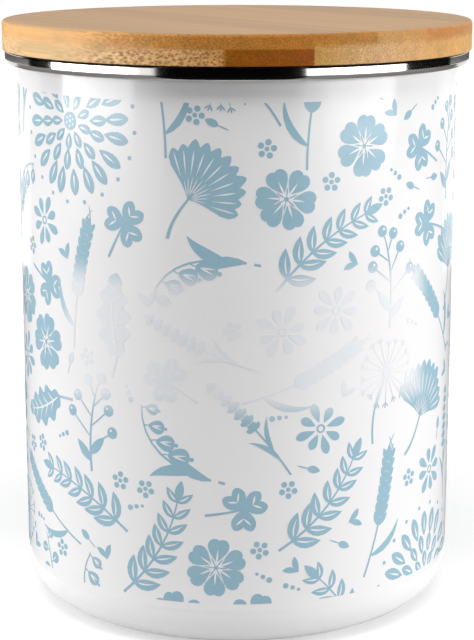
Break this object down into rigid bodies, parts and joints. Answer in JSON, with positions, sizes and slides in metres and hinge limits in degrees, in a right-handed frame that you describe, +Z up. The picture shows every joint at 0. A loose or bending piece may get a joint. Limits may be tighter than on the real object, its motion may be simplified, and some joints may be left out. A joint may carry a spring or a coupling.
{
  "type": "enamel storage canister",
  "caption": "Round enamelled steel storage canister with a rolled base corner, a crimped steel rim and a lift-off bamboo lid with a silicone seal, for dry goods.",
  "frame": {"origin": "middle of the base, on the surface that the canister stands on", "axes": "+Z up along the canister's axis; -Y is the side that faces the camera"},
  "size_m": [0.128, 0.128, 0.161],
  "materials": {
    "enamel": "fired glass enamel, glossy, with a pale blue printed pattern",
    "rim_steel": "polished stainless steel",
    "bamboo": "laminated bamboo, turned and oiled",
    "seal": "moulded translucent silicone"
  },
  "bodies": {
    "canister": {"canister_body": "enamel", "rim_band": "rim_steel"},
    "lid": {"bamboo_lid": "bamboo", "lid_seal": "seal"}
  },
  "joints": [
    {"name": "lid_lift", "type": "slide", "parent": "canister", "child": "lid", "axis": [0, 0, 1], "range_m": [0, 0.1]}
  ]
}
